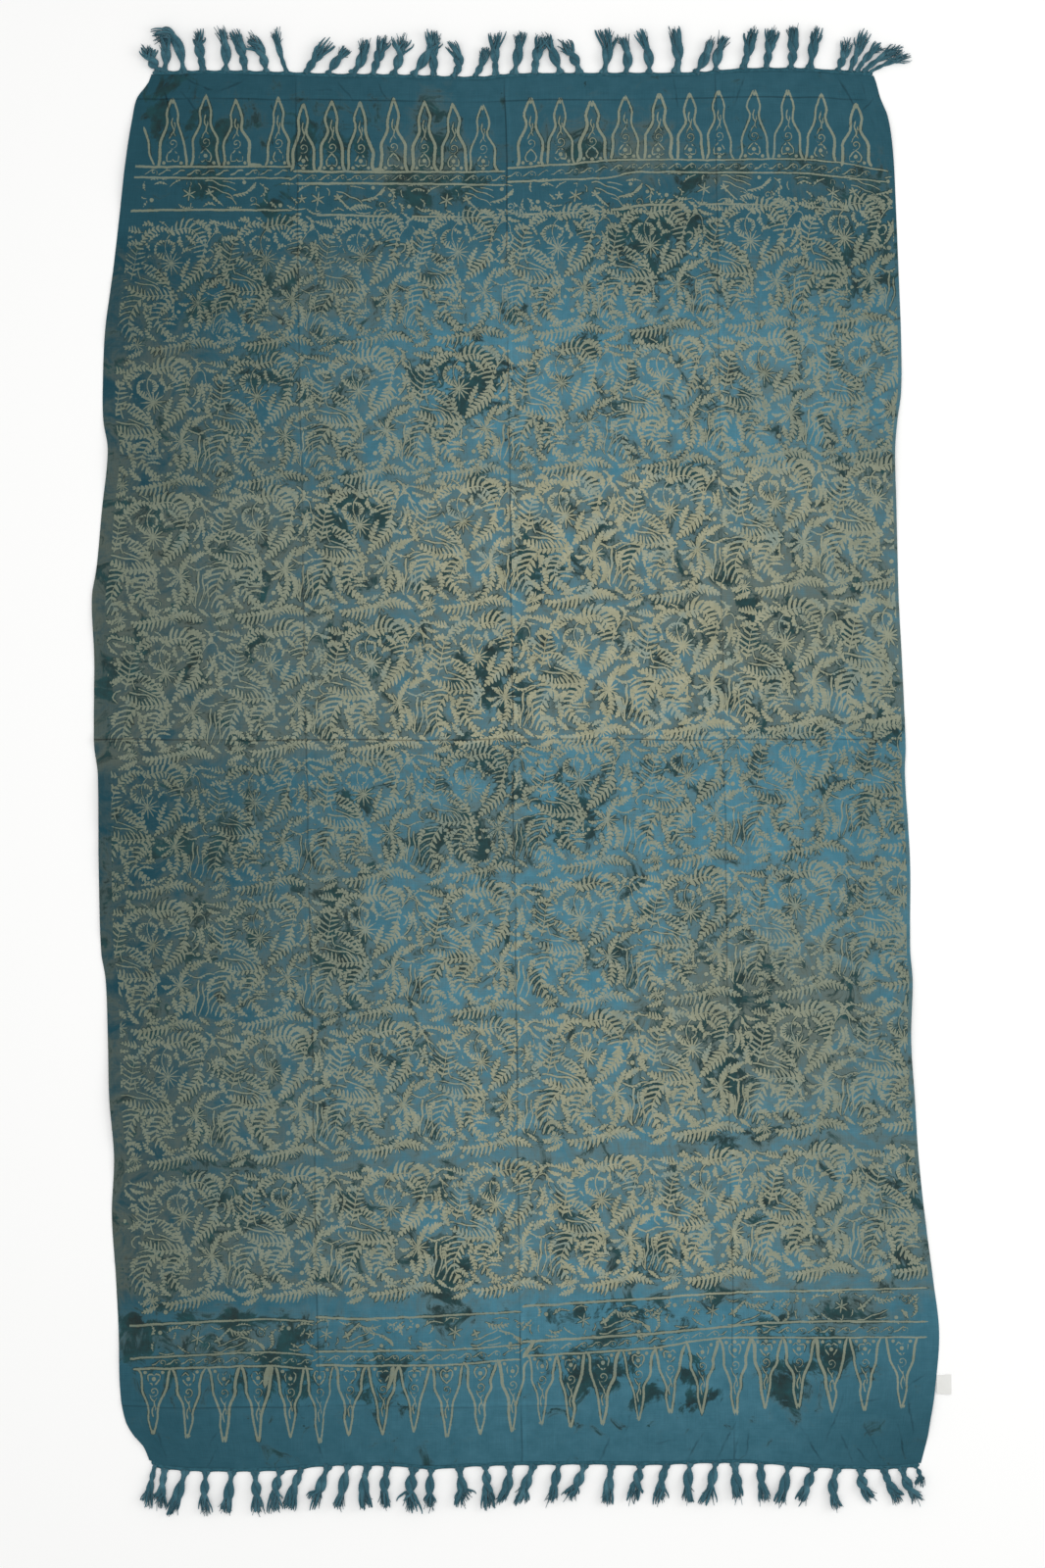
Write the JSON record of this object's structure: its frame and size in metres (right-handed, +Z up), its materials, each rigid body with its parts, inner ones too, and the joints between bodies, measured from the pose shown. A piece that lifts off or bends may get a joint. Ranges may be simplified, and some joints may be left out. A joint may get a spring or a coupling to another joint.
{
  "type": "sarong",
  "caption": "Batik sarong laid out flat, a long cloth panel with a rolled hem and a row of twisted tassels at each end and a small bare folded label at one side.",
  "frame": {"origin": "on the floor under the middle of the laid-out sarong's outer box", "axes": "+X across the cloth to the side with the label, +Y along the cloth, +Z up from the floor"},
  "size_m": [1.1216, 1.937, 0.0099],
  "materials": {
    "batik_rayon": "plain-woven rayon, wax-resist dyed teal with khaki lines, soft and matt",
    "twisted_yarn": "dyed warp ends twisted into cords, dark teal, frayed at the tips",
    "woven_tape": "white woven label tape, folded double and left bare"
  },
  "bodies": {
    "root": {"cloth_panel": "batik_rayon", "fringe_top": "twisted_yarn", "fringe_bottom": "twisted_yarn", "side_label": "woven_tape"}
  },
  "joints": []
}
